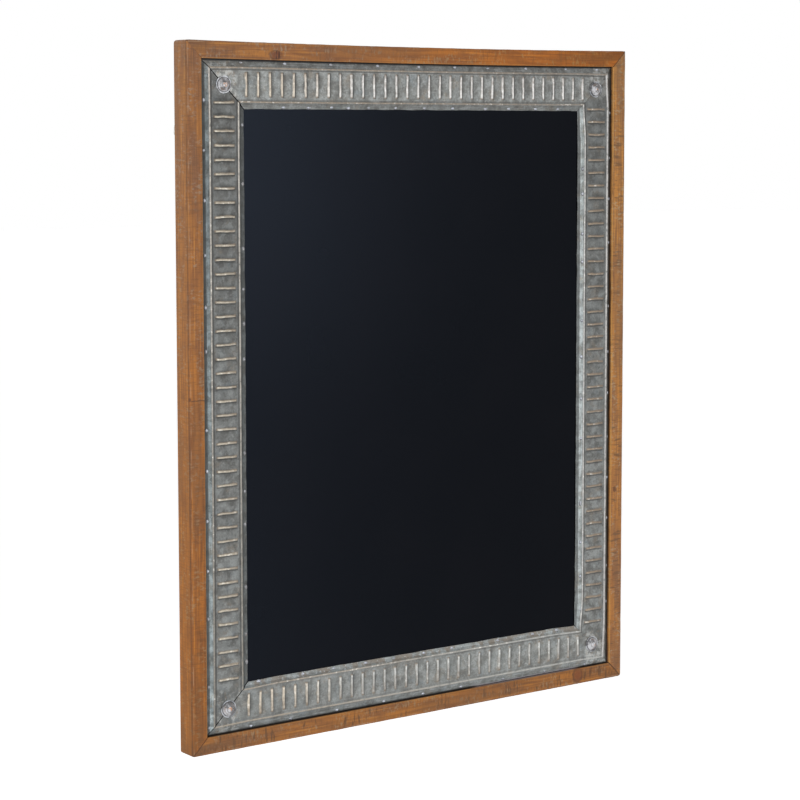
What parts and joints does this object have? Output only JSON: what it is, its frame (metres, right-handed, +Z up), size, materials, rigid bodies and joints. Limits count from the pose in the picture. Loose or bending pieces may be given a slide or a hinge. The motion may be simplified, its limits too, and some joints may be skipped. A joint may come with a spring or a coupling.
{
  "type": "wall chalkboard",
  "caption": "Wall chalkboard: black writing panel in a mitred timber frame with a ribbed galvanised steel border, domed corner nails and swinging D-ring hangers.",
  "frame": {"origin": "midway between the two wall hooks, where they bear inside the raised rings' bows, on the plane of the rails' backs", "axes": "+Z up, +X to the right as the writing face is looked at, +Y towards the wall; the writing face looks along -Y"},
  "size_m": [0.5992, 0.0318, 0.7516],
  "materials": {
    "timber": "brown stained softwood, matt, with grain along each rail",
    "galvanised_steel": "mottled grey zinc, rubbed warm and bright along beads and ribs",
    "nail_steel": "dull grey steel with brown stains",
    "chalkboard": "fibreboard under smooth black chalkboard paint, satin",
    "bright_steel": "plain bright steel",
    "hanger_steel": "nickelled steel, satin",
    "rubber": "black rubber, matt"
  },
  "bodies": {
    "frame": {"frame_rail_top": "timber", "frame_rail_bottom": "timber", "frame_stile_left": "timber", "frame_stile_right": "timber", "steel_strip_top": "galvanised_steel", "steel_strip_bottom": "galvanised_steel", "steel_strip_left": "galvanised_steel", "steel_strip_right": "galvanised_steel", "corner_nail_top_left": "nail_steel", "corner_nail_top_right": "nail_steel", "corner_nail_bottom_left": "nail_steel", "corner_nail_bottom_right": "nail_steel", "chalkboard_panel": "chalkboard", "panel_point_top_1": "bright_steel", "panel_point_top_2": "bright_steel", "panel_point_bottom_1": "bright_steel", "panel_point_bottom_2": "bright_steel", "panel_point_left_1": "bright_steel", "panel_point_left_2": "bright_steel", "panel_point_left_3": "bright_steel", "panel_point_left_4": "bright_steel", "panel_point_right_1": "bright_steel", "panel_point_right_2": "bright_steel", "panel_point_right_3": "bright_steel", "panel_point_right_4": "bright_steel", "v_nail_top_left_outer": "bright_steel", "v_nail_top_left_inner": "bright_steel", "v_nail_top_right_outer": "bright_steel", "v_nail_top_right_inner": "bright_steel", "v_nail_bottom_left_outer": "bright_steel", "v_nail_bottom_left_inner": "bright_steel", "v_nail_bottom_right_outer": "bright_steel", "v_nail_bottom_right_inner": "bright_steel", "hanger_strap_left": "hanger_steel", "hanger_strap_right": "hanger_steel", "hanger_screw_left_upper": "hanger_steel", "hanger_screw_left_lower": "hanger_steel", "hanger_screw_right_upper": "hanger_steel", "hanger_screw_right_lower": "hanger_steel", "bumper_left": "rubber", "bumper_right": "rubber"},
    "left_ring": {"hanger_ring_left": "hanger_steel"},
    "right_ring": {"hanger_ring_right": "hanger_steel"}
  },
  "joints": [
    {"name": "left_ring_swing", "type": "hinge", "parent": "frame", "child": "left_ring", "pos_m": [-0.2911, 0.0023, -0.01251], "axis": [-1, 0, 0], "range_deg": [0, 180]},
    {"name": "right_ring_swing", "type": "hinge", "parent": "frame", "child": "right_ring", "pos_m": [0.2911, 0.0023, -0.01251], "axis": [-1, 0, 0], "range_deg": [0, 180]}
  ]
}
